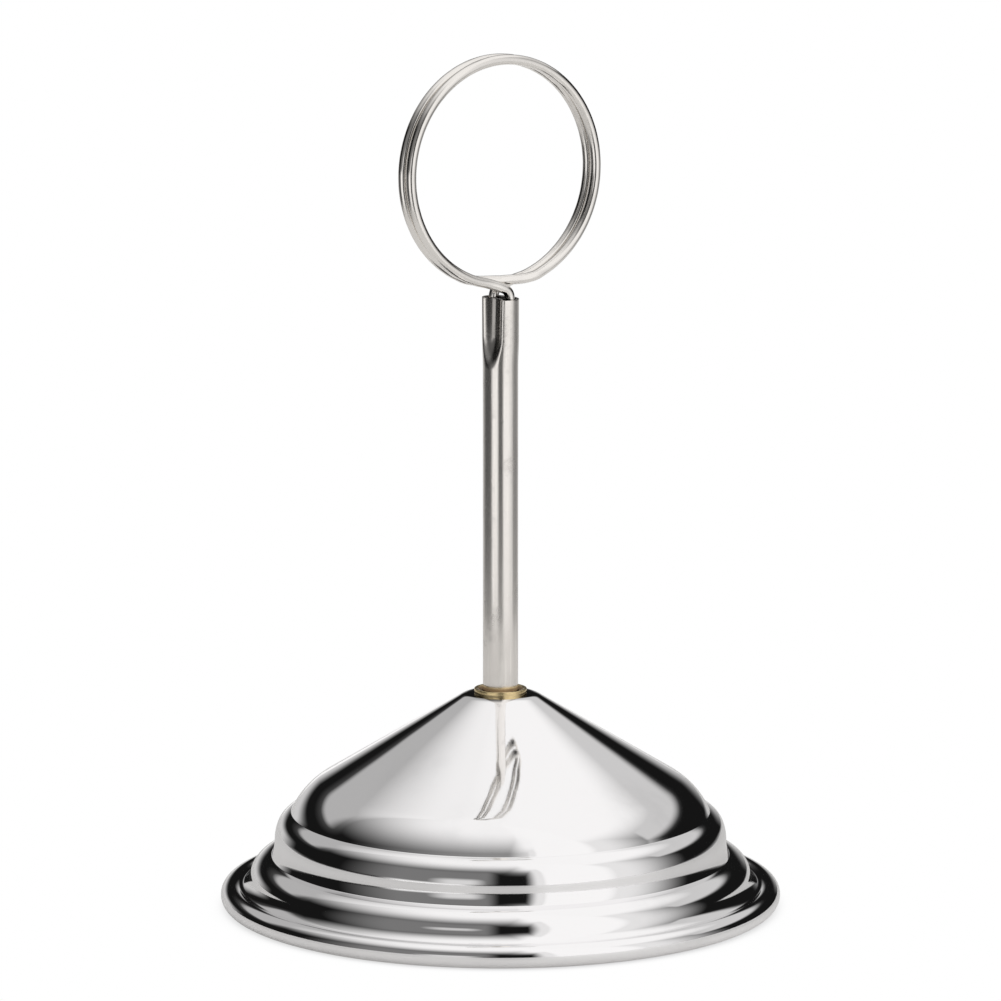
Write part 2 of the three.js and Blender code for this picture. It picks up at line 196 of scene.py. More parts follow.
class HolderStemSettings(bpy.types.PropertyGroup):
    wall: length("Wall", "Thickness of the tube's wall", 0.5 * MM)
    width: length("Diameter", "Outside diameter of the tube", 6.35 * MM)
    edge: length("Edge", "Width of the rounding on the tube's ends", 0.09 * MM)
    dent_length: length("Dent length", "Length of the crimp's dent", 12.6 * MM)
    dent_ramp: length("Dent ramp", "Length of the dent's tapering lower end", 5.6 * MM)
    dent_depth: length("Dent depth", "Depth of the dent at the mouth", 2.0 * MM)
    dent_half: angle("Dent half width", "Half the dent's width round the stem", 48)
    dent_tip: share("Dent tip", "Width left at the dent's lower tip", 0.6)
    dent_turn: angle("Dent azimuth", "Where the dent faces, from -Y towards +X", -72)
    bulge: share("Bulge", "How much the mouth widens across the dent", 0.072)
    slope: share("Mouth slope", "How much the mouth drops towards the front leg", 0.055)
    metal: colour("Steel", "Colour of the satin steel", (0.9, 0.868, 0.83))


class HolderClipSettings(bpy.types.PropertyGroup):
    setback: length("Leg setback", "How far the legs stand behind the stem's axis", 0.35 * MM)
    clearance: length("Leg clearance", "Between a leg and the mouth's wall", 0.12 * MM)
    bend: length("Bend radius", "Radius of each leg's bend", 1.9 * MM)
    bend_turn: angle("Bend angle", "How far each leg bends over", 72)
    bend_drop: length("Bend drop", "The bend ends this far below the ring", 0.75 * MM)
    cross_gap: length("Crossing gap", "Between the crossing wire and the bend", 0.08 * MM)
    cross_shift: length("Crossing shift", "The crossing's lowest point behind the axis", 0.15 * MM)
    rise: length("Ring rise", "From the mouth to the ring's lowest wire centre", 2.6 * MM)
    flex_margin: length("Flex margin", "From the crossing up to where it flexes", 1.3 * MM)
    metal: colour("Nickel", "Colour of the nickel-plated wire", (0.88, 0.855, 0.82))


class HolderStageSettings(bpy.types.PropertyGroup):
    camera_turn: angle("Camera azimuth", "Where the camera stands, from -Y towards +X", -35)
    camera_pitch: angle("Camera pitch", "How far the camera looks down", 9.5)
    camera_height: length("Camera height", "Height of the camera above the table", 0.2414)
    camera_distance: length("Camera distance", "From the camera to the stem's axis", 1.0)
    lens: bpy.props.FloatProperty(
        name="Lens", description="Focal length in mm", default=202.8, unit="CAMERA"
    )
    floor: colour("Floor", "Colour of the table", (0.8, 0.795, 0.785))
    floor_radius: length("Floor radius", "Radius of the round table", 3.0)
    floor_near: length("Floor near", "Reflections show the table as far as this", 0.19)
    floor_far: length("Floor far", "Reflections no longer show the table from here", 0.38)
    contact: length("Contact shade", "Reach of the shade where the base stands", 12 * MM)


# ---- meshes ------------------------------------------------------------------------------


def facing_vector(facing):
    """The outward normal of an outline in the XZ plane, from its elevation."""
    return Vector((math.cos(facing), 0, math.sin(facing)))


class Outline:
    """A chain of tangent arcs and lines in the XZ plane, to be spun round the Z axis."""

    def __init__(self, bm, start, facing):
        self.bm = bm
        self.tip = bmesh.ops.create_vert(bm, co=start)["vert"][0]
        self.facing = facing

    def arc(self, radius, facing, steps):
        """Curves on to a new facing; a negative radius makes the surface hollow."""
        centre = self.tip.co - radius * facing_vector(self.facing)
        result = bmesh.ops.spin(
            self.bm,
            geom=[self.tip],
            cent=centre,
            axis=(0, -1, 0),
            angle=facing - self.facing,
            steps=steps,
            use_duplicate=False,
        )
        self.tip = result["geom_last"][0]
        self.facing = facing

    def line(self, end_x, steps=1):
        """Goes straight on until it reaches a distance from the axis."""
        along = Vector((-math.sin(self.facing), 0, math.cos(self.facing)))
        total = (end_x - self.tip.co.x) / along.x
        for _ in range(steps):
            self.move(along * (total / steps))

    def move(self, offset):
        extruded = bmesh.ops.extrude_vert_indiv(self.bm, verts=[self.tip])
        self.tip = extruded["verts"][0]
        bmesh.ops.translate(self.bm, vec=offset, verts=[self.tip])


def chain(bm, pairs, closed=True):
    """Joins points of the XZ plane, given as (x, z) pairs, by edges."""
    verts = [bmesh.ops.create_vert(bm, co=(x, 0, z))["vert"][0] for x, z in pairs]
    ends = verts[1:] + verts[:1] if closed else verts[1:]
    for first, second in zip(verts, ends):
        bm.edges.new((first, second))
    return verts


def spin_round(bm, steps):
    bmesh.ops.spin(
        bm,
        geom=list(bm.verts) + list(bm.edges),
        cent=(0, 0, 0),
        axis=UP,
        angle=2 * math.pi,
        steps=steps,
        use_merge=True,
        use_duplicate=False,
    )
    bmesh.ops.remove_doubles(bm, verts=bm.verts, dist=0.002 * MM)
    bmesh.ops.recalc_face_normals(bm, faces=bm.faces)


def finished(bm, name, materials, sharp=40):
    """Turns a bmesh into a smooth-shaded object at the origin."""
    mesh = bpy.data.meshes.new(name)
    bm.to_mesh(mesh)
    bm.free()
    for material in materials:
        mesh.materials.append(material)
    mesh.shade_smooth()
    mesh.set_sharp_from_angle(angle=math.radians(sharp))
    piece = bpy.data.objects.new(name, mesh)
    bpy.context.scene.collection.objects.link(piece)
    return piece


def solidified(piece, thickness, inner_material=0):
    wall = piece.modifiers.new("wall", "SOLIDIFY")
    wall.thickness = thickness
    wall.offset = -1
    wall.use_even_offset = True
    wall.use_quality_normals = True
    wall.material_offset = inner_material
    return wall


def turned(name, pairs, edge, material, steps=96):
    """A closed profile turned round the Z axis, with its edges rounded."""
    bm = bmesh.new()
    corners = chain(bm, pairs)
    bmesh.ops.bevel(
        bm,
        geom=corners,
        offset=edge,
        segments=4,
        profile=0.5,
        affect="VERTICES",
        material=-1,
    )
    spin_round(bm, steps)
    return finished(bm, name, [material], sharp=60)


# ---- materials ---------------------------------------------------------------------------


def add_node(tree, kind, inputs=None, **settings):
    """Adds a node; inputs may be plain values or sockets to link from."""
    node = tree.nodes.new(kind)
    for name, value in settings.items():
        setattr(node, name, value)
    for name, value in (inputs or {}).items():
        if isinstance(value, bpy.types.NodeSocket):
            tree.links.new(value, node.inputs[name])
        else:
            node.inputs[name].default_value = value
    return node


def maths(tree, operation, first, second=0.0):
    return add_node(tree, "ShaderNodeMath", {0: first, 1: second}, operation=operation).outputs[0]


def ramp(tree, value, low, high, to_low=0.0, to_high=1.0):
    """A smooth step of a value, between two limits."""
    node = add_node(
        tree,
        "ShaderNodeMapRange",
        {"Value": value, "From Min": low, "From Max": high, "To Min": to_low, "To Max": to_high},
        interpolation_type="SMOOTHSTEP",
    )
    return node.outputs["Result"]


def blend_colours(tree, factor, first, second):
    node = add_node(tree, "ShaderNodeMix", {"Factor": factor}, data_type="RGBA")
    for name, value in (("A", first), ("B", second)):
        socket = [s for s in node.inputs if s.name == name and s.type == "RGBA"][0]
        if isinstance(value, bpy.types.NodeSocket):
            tree.links.new(value, socket)
        else:
            socket.default_value = (*value, 1)
    return [s for s in node.outputs if s.type == "RGBA"][0]


def new_group(name, inputs, outputs):
    """An empty node group; inputs gives each socket's default, and outputs only names."""
    group = bpy.data.node_groups.new(name, "ShaderNodeTree")
    for socket_name, default in inputs.items():
        is_vector = isinstance(default, tuple)
        kind = "NodeSocketVector" if is_vector else "NodeSocketFloat"
        socket = group.interface.new_socket(socket_name, in_out="INPUT", socket_type=kind)
        socket.default_value = default
    for socket_name in outputs:
        group.interface.new_socket(socket_name, in_out="OUTPUT", socket_type="NodeSocketFloat")
    return group, group.nodes.new("NodeGroupInput"), group.nodes.new("NodeGroupOutput")


def smudge_group():
    """Handling marks: soft patches, with finer dabs inside them, from 0 to 1."""
    group, given, out = new_group("smudges", {"Vector": (0, 0, 0), "Scale": 60.0}, ["Mask"])
    patches = add_node(
        group,
        "ShaderNodeTexNoise",
        {"Vector": given.outputs["Vector"], "Scale": given.outputs["Scale"], "Detail": 3},
    )
    fine_scale = maths(group, "MULTIPLY", given.outputs["Scale"], 7)
    dabs = add_node(
        group,
        "ShaderNodeTexNoise",
        {"Vector": given.outputs["Vector"], "Scale": fine_scale, "Detail": 4},
    )
    broad = ramp(group, patches.outputs["Fac"], 0.46, 0.68)
    fine = ramp(group, dabs.outputs["Fac"], 0.35, 0.75, 0.35, 1)
    group.links.new(maths(group, "MULTIPLY", broad, fine), out.inputs["Mask"])
    return group


def finish_lines(group, given, out, point):
    """Finishes a group of fine lines: noise at a point, put out as a height and a mask."""
    scale = given.outputs["Scale"]
    lines = add_node(
        group, "ShaderNodeTexNoise", {"Vector": point, "Scale": scale, "Detail": 4}
    )
    group.links.new(lines.outputs["Fac"], out.inputs["Height"])
    group.links.new(ramp(group, lines.outputs["Fac"], 0.52, 0.72), out.inputs["Mask"])
    return group


def hairline_group():
    """Hairlines along the direction that Stretch leaves long."""
    inputs = {"Vector": (0, 0, 0), "Stretch": (1.0, 1.0, 1.0), "Scale": 900.0}
    group, given, out = new_group("hairlines", inputs, ["Height", "Mask"])
    stretched = add_node(
        group,
        "ShaderNodeVectorMath",
        {0: given.outputs["Vector"], 1: given.outputs["Stretch"]},
        operation="MULTIPLY",
    )
    return finish_lines(group, given, out, stretched.outputs[0])


def turning_group():
    """Lines left by turning, which run round the Z axis."""
    inputs = {"Vector": (0, 0, 0), "Scale": 900.0}
    group, given, out = new_group("turning_lines", inputs, ["Height", "Mask"])
    radius, height = turned_place(group, given.outputs["Vector"])
    point = add_node(group, "ShaderNodeCombineXYZ", {"X": radius, "Y": height})
    return finish_lines(group, given, out, point.outputs[0])


def turned_place(tree, place):
    """The distance of a point from the Z axis, and its height."""
    parts = add_node(tree, "ShaderNodeSeparateXYZ", {0: place})
    flat = add_node(
        tree, "ShaderNodeCombineXYZ", {"X": parts.outputs["X"], "Y": parts.outputs["Y"]}
    )
    radius = add_node(tree, "ShaderNodeVectorMath", {0: flat.outputs[0]}, operation="LENGTH")
    return radius.outputs["Value"], parts.outputs["Z"]


def shared_group(name):
    makers = {
        "smudges": smudge_group,
        "hairlines": hairline_group,
        "turning_lines": turning_group,
    }
    return bpy.data.node_groups.get(name) or makers[name]()


def use_group(tree, name, inputs):
    node = add_node(tree, "ShaderNodeGroup", node_tree=shared_group(name))
    for socket, value in inputs.items():
        if isinstance(value, bpy.types.NodeSocket):
            tree.links.new(value, node.inputs[socket])
        else:
            node.inputs[socket].default_value = value
    return node


def new_metal(name):
    """A metal material with its node tree, shader and Object coordinates."""
    material = bpy.data.materials.new(name)
    material.use_nodes = True
    tree = material.node_tree
    shader = tree.nodes["Principled BSDF"]
    shader.inputs["Metallic"].default_value = 1
    place = add_node(tree, "ShaderNodeTexCoord").outputs["Object"]
    return material, tree, shader, place


def bump(tree, shader, height, distance, strength=1.0):
    node = add_node(
        tree, "ShaderNodeBump", {"Height": height, "Distance": distance, "Strength": strength}
    )
    tree.links.new(node.outputs["Normal"], shader.inputs["Normal"])
    return node


def chrome_material(settings):
    """Mirror chrome over spun sheet: faint spinning lines, a slight ripple, a few smudges."""
    material, tree, shader, place = new_metal("spun_chrome")
    smudge = use_group(tree, "smudges", {"Vector": place, "Scale": 38.0}).outputs["Mask"]
    lines = use_group(tree, "turning_lines", {"Vector": place, "Scale": 2600.0})
    haze = maths(tree, "MULTIPLY_ADD", smudge, 0.05)
    haze.node.inputs[2].default_value = settings.polish
    scratches = maths(tree, "MULTIPLY_ADD", lines.outputs["Mask"], 0.012)
    tree.links.new(haze, scratches.node.inputs[2])
    tree.links.new(scratches, shader.inputs["Roughness"])
    dulled = [channel * 0.93 for channel in settings.metal]
    tint = blend_colours(tree, smudge, settings.metal, dulled)
    tree.links.new(tint, shader.inputs["Base Color"])
    ripple = add_node(tree, "ShaderNodeTexNoise", {"Vector": place, "Scale": 70.0, "Detail": 1.5})
    fine = maths(tree, "MULTIPLY_ADD", lines.outputs["Height"], 0.012)
    tree.links.new(ripple.outputs["Fac"], fine.node.inputs[2])
    bump(tree, shader, fine, 0.05 * MM)
    return material


def inside_material(settings):
    """The unpolished side of the sheet: dull plate with turning lines and dry stains."""
    material, tree, shader, place = new_metal("dull_plate")
    smudge = use_group(tree, "smudges", {"Vector": place, "Scale": 55.0}).outputs["Mask"]
    lines = use_group(tree, "turning_lines", {"Vector": place, "Scale": 1500.0})
    tree.links.new(ramp(tree, smudge, 0, 1, 0.34, 0.52), shader.inputs["Roughness"])
    stained = [channel * 0.7 for channel in settings.inside]
    tint = blend_colours(tree, smudge, settings.inside, stained)
    tree.links.new(tint, shader.inputs["Base Color"])
    bump(tree, shader, lines.outputs["Height"], 0.04 * MM)
    return material


def brass_material(settings):
    """Turned brass: concentric tool marks, browned towards the stem where polish can't reach."""
    material, tree, shader, place = new_metal("turned_brass")
    lines = use_group(tree, "turning_lines", {"Vector": place, "Scale": 3200.0})
    smudge = use_group(tree, "smudges", {"Vector": place, "Scale": 260.0}).outputs["Mask"]
    radius, height = turned_place(tree, place)
    dish_edge = bush_high.x - settings.lip
    near_stem = ramp(tree, radius, dish_edge, dish_edge - 0.5 * MM)
    above = ramp(tree, height, bush_high.z - 0.8 * MM, bush_high.z - 0.5 * MM)
    dished = maths(tree, "MULTIPLY", near_stem, above)
    patchy = maths(tree, "MULTIPLY_ADD", smudge, 0.35)
    tree.links.new(maths(tree, "MULTIPLY", dished, 0.85), patchy.node.inputs[2])
    tint = blend_colours(tree, patchy, settings.metal, settings.tarnish)
    tree.links.new(tint, shader.inputs["Base Color"])
    tree.links.new(ramp(tree, patchy, 0, 1, 0.24, 0.46), shader.inputs["Roughness"])
    bump(tree, shader, lines.outputs["Height"], 0.006 * MM)
    return material


def satin_material(settings):
    """Drawn steel tube: hairlines along its length, nicks, smudges and painted shade inside the
    crimp's dent.
    """
    material, tree, shader, place = new_metal("satin_steel")
    drawn = use_group(
        tree, "hairlines", {"Vector": place, "Stretch": (1, 1, 0.03), "Scale": 2400.0}
    )
    smudge = use_group(tree, "smudges", {"Vector": place, "Scale": 150.0}).outputs["Mask"]
    nicks = add_node(
        tree, "ShaderNodeTexVoronoi", {"Vector": place, "Scale": 420.0, "Randomness": 1}
    )
    nick = ramp(tree, nicks.outputs["Distance"], 0.16, 0.05)
    worn = [min(1, channel * 1.12) for channel in settings.metal]
    dull = [channel * 0.86 for channel in settings.metal]
    grain = blend_colours(tree, drawn.outputs["Mask"], settings.metal, worn)
    handled = blend_colours(tree, smudge, grain, dull)
    radius, _ = turned_place(tree, place)
    # Painted shade: the wall that the dent presses in is darkened towards half the steel's colour,
    # in place of the darker reflections inside the dent.
    shallow, deep = 0.35 * MM, 0.9 * MM
    wall = settings.width / 2
    dent_shade_mask = ramp(tree, radius, wall - shallow, wall - deep)
    dent_painted_shade = [channel * 0.5 for channel in settings.metal]
    tint = blend_colours(tree, dent_shade_mask, handled, dent_painted_shade)
    tree.links.new(tint, shader.inputs["Base Color"])
    tree.links.new(ramp(tree, smudge, 0, 1, 0.2, 0.32), shader.inputs["Roughness"])
    height = maths(tree, "MULTIPLY_ADD", nick, -0.5)
    tree.links.new(drawn.outputs["Height"], height.node.inputs[2])
    bump(tree, shader, height, 0.012 * MM)
    return material


def nickel_material(settings):
    """Bright nickel on drawn wire: mostly clean, with soft dull patches and draw lines."""
    material, tree, shader, place = new_metal("nickel_wire")
    smudge = use_group(tree, "smudges", {"Vector": place, "Scale": 90.0}).outputs["Mask"]
    grain = use_group(tree, "hairlines", {"Vector": place, "Scale": 700.0})
    dull = [channel * 0.88 for channel in settings.metal]
    tint = blend_colours(tree, smudge, settings.metal, dull)
    tree.links.new(tint, shader.inputs["Base Color"])
    tree.links.new(ramp(tree, smudge, 0, 1, 0.12, 0.24), shader.inputs["Roughness"])
    bump(tree, shader, grain.outputs["Height"], 0.0015 * MM)
    return material


def zinc_material():
    """Zinc-plated hardware: a bluish grey with a soft crystal mottle."""
    material, tree, shader, place = new_metal("zinc_plate")
    mottle = add_node(tree, "ShaderNodeTexVoronoi", {"Vector": place, "Scale": 900.0})
    smudge = use_group(tree, "smudges", {"Vector": place, "Scale": 300.0}).outputs["Mask"]
    tint = blend_colours(tree, mottle.outputs["Distance"], (0.6, 0.63, 0.66), (0.45, 0.46, 0.47))
    tree.links.new(tint, shader.inputs["Base Color"])
    tree.links.new(ramp(tree, smudge, 0, 1, 0.3, 0.5), shader.inputs["Roughness"])
    bump(tree, shader, mottle.outputs["Distance"], 0.01 * MM)
    return material


def shared_material(name, maker, *given):
    return bpy.data.materials.get(name) or maker(*given)


# ---- operators ---------------------------------------------------------------------------


class BuildBase(bpy.types.Operator):
    """Spin the bell-shaped base from one outline and give the sheet its thickness"""

    bl_idname = "holder.build_base"
    bl_label = "Spun base"
    bl_options = {"REGISTER", "UNDO"}

    def execute(self, context):
        settings = context.scene.holder_base
        land_turn = math.radians(FLAT_FACING + LAND_END_FACING)
        roll_height = settings.roll * math.cos(land_turn)
        roll_centre = Vector((base_high.x - settings.roll, 0, roll_height))
        free_edge = math.radians(FREE_EDGE_FACING)
        curves = [
            (settings.roll, LAND_START_FACING, 8),
            (settings.roll, LAND_END_FACING, 1),
            (settings.roll, ROLL_END_FACING, 36),
            (-settings.valley, FLARE_FACING, 10),
            (-settings.flare, LOWER_BEAD_FACING, 10),
            (settings.lower_foot, BEAD_TURN_FACING, 4),
            (settings.lower_bead, LOWER_BEAD_TOP_FACING, 18),
            (-settings.fold, BEAD_TURN_FACING, 6),
            (-settings.neck, 0, 8),
            (settings.upper_foot, BEAD_TURN_FACING, 8),
            (settings.upper_bead, UPPER_BEAD_TOP_FACING, 14),
            (-settings.fold, SHOULDER_FACING, 6),
            (settings.shoulder, math.degrees(settings.cone), 14),
        ]
        bm = bmesh.new()
        outline = Outline(bm, roll_centre + settings.roll * facing_vector(free_edge), free_edge)
        for radius, facing, steps in curves:
            outline.arc(radius, math.radians(facing), steps)
        apex_flat = bush_high.x + settings.apex_margin
        outline.line(apex_flat + settings.apex * math.cos(settings.cone), 16)
        outline.arc(settings.apex, math.radians(FLAT_FACING), 8)
        outline.line(bush_high.x - settings.hole_margin, 2)
        spin_round(bm, settings.around)
        cone_face = max(bm.faces, key=lambda face: face.calc_center_median().z)
        if cone_face.normal.z < 0:
            bmesh.ops.reverse_faces(bm, faces=bm.faces)
        chrome = shared_material("spun_chrome", chrome_material, settings)
        inside = shared_material("dull_plate", inside_material, settings)
        piece = finished(bm, "spun_base", [chrome, inside], sharp=80)
        solidified(piece, settings.sheet, inner_material=1)
        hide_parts("base_shell")
        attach(piece, STAND)
        return {"FINISHED"}


class BuildBush(bpy.types.Operator):
    """Turn the brass bush that seats the stem on the base"""

    bl_idname = "holder.build_bush"
    bl_label = "Brass bush"
    bl_options = {"REGISTER", "UNDO"}

    def execute(self, context):
        settings = context.scene.holder_bush
        stem_radius = context.scene.holder_stem.width / 2
        socket = stem_radius + FIT_CLEARANCE
        seat = tube_low.z - SEAT_GAP
        top = bush_high.z
        flange = bush_high.x
        flange_low = base_high.z + SEAT_GAP
        profile = [
            (SCREW_HOLE, bush_low.z),
            (settings.spigot, bush_low.z),
            (settings.spigot, flange_low),
            (flange, flange_low),
            (flange, top),
            (flange - settings.lip, top),
            (socket, top - settings.dish),
            (socket, seat),
            (SCREW_HOLE, seat),
        ]
        brass = shared_material("turned_brass", brass_material, settings)
        piece = turned("brass_bush", profile, settings.edge, brass, steps=128)
        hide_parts("stem_bush")
        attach(piece, STAND)
        return {"FINISHED"}


class BuildFittings(bpy.types.Operator):
    """Turn the washers and the slotted screw under the base, and finish the plug"""

    bl_idname = "holder.build_fittings"
    bl_label = "Screw and washers"
    bl_options = {"REGISTER", "UNDO"}

    def execute(self, context):
        settings = context.scene.holder_fittings
        zinc = shared_material("zinc_plate", zinc_material)
        section = self.washer_section(flat_low, flat_high)
        washer = turned("plain_washer", section, settings.edge, zinc)
        self.place(washer, "flat_washer")
        self.place(self.split_washer(settings, zinc), "lock_washer")
        self.place(self.screw(settings, zinc), "stem_screw")
        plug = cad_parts["stem_plug"]
        plug.data.materials.clear()
        plug.data.materials.append(zinc)
        return {"FINISHED"}

    def place(self, piece, node):
        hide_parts(node)
        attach(piece, STAND)

    def washer_section(self, low, high):
        """The corners of a washer's section, from its box."""
        outer = high.x
        return [(SCREW_HOLE, low.z), (outer, low.z), (outer, high.z), (SCREW_HOLE, high.z)]

    def split_washer(self, settings, zinc):
        """A spring washer: one square coil, cut through."""
        bm = bmesh.new()
        verts = chain(bm, self.washer_section(lock_low, lock_high))
        bmesh.ops.bevel(
            bm,
            geom=verts,
            offset=settings.lock_edge,
            segments=3,
            profile=0.5,
            affect="VERTICES",
            material=-1,
        )
        half_split = Matrix.Rotation(settings.split / 2, 3, "Z")
        bmesh.ops.rotate(bm, verts=bm.verts, cent=(0, 0, 0), matrix=half_split)
        bmesh.ops.edgeloop_fill(bm, edges=list(bm.edges))
        bmesh.ops.spin(
            bm,
            geom=list(bm.faces),
            cent=(0, 0, 0),
            axis=UP,
            angle=2 * math.pi - settings.split,
            steps=72,
            use_duplicate=False,
        )
        bmesh.ops.recalc_face_normals(bm, faces=bm.faces)
        return finished(bm, "split_washer", [zinc], sharp=60)

    def screw(self, settings, zinc):
        """A pan-head screw with its slot cut across."""
        head = screw_high.x
        seat = lock_low.z - SEAT_GAP
        core = 0.01 * MM
        profile = [
            (core, screw_low.z),
            (head - settings.dome, screw_low.z),
            (head, screw_low.z + settings.dome),
            (head, seat),
            (settings.shank, seat),
            (settings.shank, screw_high.z),
            (core, screw_high.z),
        ]
        bm = bmesh.new()
        verts = chain(bm, profile, closed=False)
        bmesh.ops.bevel(
            bm,
            geom=verts[1:4],
            offset=settings.head_round,
            segments=6,
            profile=0.5,
            affect="VERTICES",
            material=-1,
        )
        spin_round(bm, 64)
        bmesh.ops.holes_fill(bm, edges=bm.edges, sides=64)
        bmesh.ops.recalc_face_normals(bm, faces=bm.faces)
        piece = finished(bm, "slotted_screw", [zinc], sharp=35)
        cutter_mesh = bmesh.new()
        size = Matrix.Diagonal((3 * head, settings.slot, 2 * settings.slot_depth, 1))
        bmesh.ops.create_cube(
            cutter_mesh, size=1, matrix=Matrix.Translation((0, 0, screw_low.z)) @ size
        )
        cutter = finished(cutter_mesh, "slot_cutter", [zinc])
        slot = piece.modifiers.new("slot", "BOOLEAN")
        slot.object = cutter
        slot.solver = "EXACT"
        apply_modifiers(piece)
        bpy.data.objects.remove(cutter)
        return piece


def apply_modifiers(piece):
    """Makes a piece's modified shape its own mesh."""
    graph = bpy.context.evaluated_depsgraph_get()
    mesh = bpy.data.meshes.new_from_object(piece.evaluated_get(graph))
    piece.modifiers.clear()
    piece.data = mesh


class BuildStem(bpy.types.Operator):
    """Draw the tube and press the dent of its crimped mouth"""

    bl_idname = "holder.build_stem"
    bl_label = "Crimped stem"
    bl_options = {"REGISTER", "UNDO"}

    def execute(self, context):
        settings = context.scene.holder_stem
        mouth = mouth_height()
        plain_rows = 4
        dent_rows = 64
        bm = bmesh.new()
        bmesh.ops.create_circle(
            bm,
            cap_ends=False,
            radius=settings.width / 2,
            segments=128,
            matrix=Matrix.Translation((0, 0, tube_low.z)),
        )
        loop = list(bm.edges)
        plain = mouth - settings.dent_length - tube_low.z
        rises = [plain / plain_rows] * plain_rows
        rises += [settings.dent_length / dent_rows] * dent_rows
        for rise in rises:
            result = bmesh.ops.extrude_edge_only(bm, edges=loop)["geom"]
            verts = [g for g in result if isinstance(g, bmesh.types.BMVert)]
            loop = [g for g in result if isinstance(g, bmesh.types.BMEdge)]
            bmesh.ops.translate(bm, vec=(0, 0, rise), verts=verts)
        bmesh.ops.recalc_face_normals(bm, faces=bm.faces)
        side = bm.faces[:][0]
        centre = side.calc_center_median()
        if side.normal.dot(Vector((centre.x, centre.y, 0))) < 0:
            bmesh.ops.reverse_faces(bm, faces=bm.faces)
        self.press(bm, settings, mouth)
        satin = shared_material("satin_steel", satin_material, settings)
        piece = finished(bm, "crimped_stem", [satin], sharp=70)
        solidified(piece, settings.wall)
        edges = piece.modifiers.new("edges", "BEVEL")
        edges.width = settings.edge
        edges.segments = 3
        edges.limit_method = "ANGLE"
        edges.angle_limit = math.radians(50)
        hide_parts("stem_tube")
        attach(piece, STAND)
        return {"FINISHED"}

    def press(self, bm, settings, mouth):
        """Moves the wall in: a long dent with a tapering lower end, and a widened mouth."""
        out_way, across_way = dent_axes(settings)
        dent_foot = mouth - settings.dent_length
        for vert in bm.verts:
            above = vert.co.z - dent_foot
            formed = crimp_share(above, settings)
            across = vert.co.dot(across_way)
            out = vert.co.dot(out_way)
            half = settings.dent_half * (settings.dent_tip + (1 - settings.dent_tip) * formed)
            turn = min(abs(math.atan2(across, out)) / half, 1)
            press = settings.dent_depth * formed * math.cos(turn * math.pi / 2) ** 2
            wide = across * (1 + settings.bulge * formed)
            moved = wide * across_way + (out - press) * out_way
            moved.z = vert.co.z - settings.slope * across * formed
            vert.co = moved


def mouth_height():
    """The height of the mouth's middle: the wire's lowest ring centre less its rise."""
    settings = bpy.context.scene.holder_clip
    return ring_centre().z - ring_radius() - settings.rise


def wire_radius():
    return (turn_high.y - turn_low.y) / 2


def ring_radius():
    return (turn_high.x - turn_low.x) / 2 - wire_radius()


def ring_centre():
    return Vector((0, 0, turn_high.z - wire_radius() - ring_radius()))


def dent_axes(settings):
    """Unit vectors out through the dent and across it towards the front leg."""
    out_way = Vector((math.sin(settings.dent_turn), -math.cos(settings.dent_turn), 0))
    return out_way, Vector((-out_way.y, out_way.x, 0))


def crimp_share(above, settings):
    """How far the crimp has formed, from 0 below the dent to 1 at the mouth."""
    quick = min(max(above / settings.dent_ramp, 0), 1)
    quick *= quick * (3 - 2 * quick)
    steady = min(max(above / settings.dent_length, 0), 1)
    quick_part = 0.75
    return quick_part * quick + (1 - quick_part) * steady


